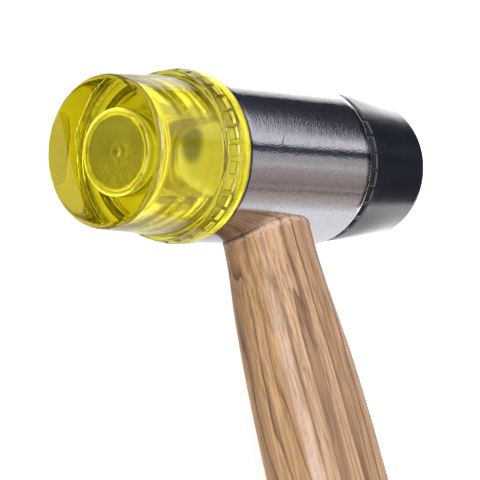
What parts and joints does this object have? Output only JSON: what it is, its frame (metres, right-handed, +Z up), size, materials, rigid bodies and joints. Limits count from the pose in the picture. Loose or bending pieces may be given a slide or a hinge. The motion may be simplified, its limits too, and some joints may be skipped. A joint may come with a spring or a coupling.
{
  "type": "dead blow mallet",
  "caption": "Two-faced dead blow mallet: chrome tube head with clear yellow and black screw-in faces on a wedged wooden handle, lying on its side.",
  "frame": {"origin": "middle of the bounding box at ground level", "axes": "+X runs from the head to the handle's butt, Y along the head with the yellow face at -Y, +Z up; the mallet lies on its side"},
  "size_m": [0.3008, 0.104, 0.0412],
  "materials": {
    "chrome": "bright plated, with fine scratches",
    "steel": "plain steel",
    "shot_steel": "smooth steel balls",
    "clear_yellow_plastic": "clear, polished, lightly marked",
    "black_rubber": "satin moulded rubber",
    "ring_rubber": "plain rubber",
    "handle_wood": "open-grained hardwood, thin varnish, worn ridge",
    "wedge_wood": "bare hardwood"
  },
  "bodies": {
    "mallet": {"head_tube": "chrome", "eye_sleeve": "steel", "yellow_bulkhead": "steel", "black_bulkhead": "steel", "shot_cup": "steel", "handle": "handle_wood", "wooden_wedge": "wedge_wood", "steel_wedge_left": "steel", "steel_wedge_right": "steel"},
    "yellow_ring": {"yellow_face_o_ring": "ring_rubber"},
    "yellow_face": {"yellow_face": "clear_yellow_plastic"},
    "black_ring": {"black_face_o_ring": "ring_rubber"},
    "black_face": {"black_face": "black_rubber"},
    "shot": {"shot_ball_01": "shot_steel", "shot_ball_02": "shot_steel", "shot_ball_03": "shot_steel", "shot_ball_04": "shot_steel", "shot_ball_05": "shot_steel", "shot_ball_06": "shot_steel", "shot_ball_07": "shot_steel", "shot_ball_08": "shot_steel", "shot_ball_09": "shot_steel", "shot_ball_10": "shot_steel", "shot_ball_11": "shot_steel", "shot_ball_12": "shot_steel", "shot_ball_13": "shot_steel", "shot_ball_14": "shot_steel"}
  },
  "joints": [
    {"name": "yellow_face_travel", "type": "slide", "parent": "mallet", "child": "yellow_ring", "axis": [0, -1, 0], "range_m": [0, 0.006]},
    {"name": "yellow_face_turn", "type": "hinge", "parent": "yellow_ring", "child": "yellow_face", "pos_m": [-0.12979, -0.02395, 0.0206], "axis": [0, -1, 0], "range_deg": [0, 1081]},
    {"name": "black_face_travel", "type": "slide", "parent": "mallet", "child": "black_ring", "axis": [0, 1, 0], "range_m": [0, 0.006]},
    {"name": "black_face_turn", "type": "hinge", "parent": "black_ring", "child": "black_face", "pos_m": [-0.12979, 0.02395, 0.0206], "axis": [0, 1, 0], "range_deg": [0, 1081]},
    {"name": "shot_slide", "type": "slide", "parent": "mallet", "child": "shot", "axis": [0, 1, 0], "range_m": [-0.005, 0.005]}
  ],
  "couplings": [
    {"joint": "yellow_face_turn", "follows": "yellow_face_travel", "rad_per_m": 3141.6},
    {"joint": "black_face_turn", "follows": "black_face_travel", "rad_per_m": 3141.6}
  ]
}
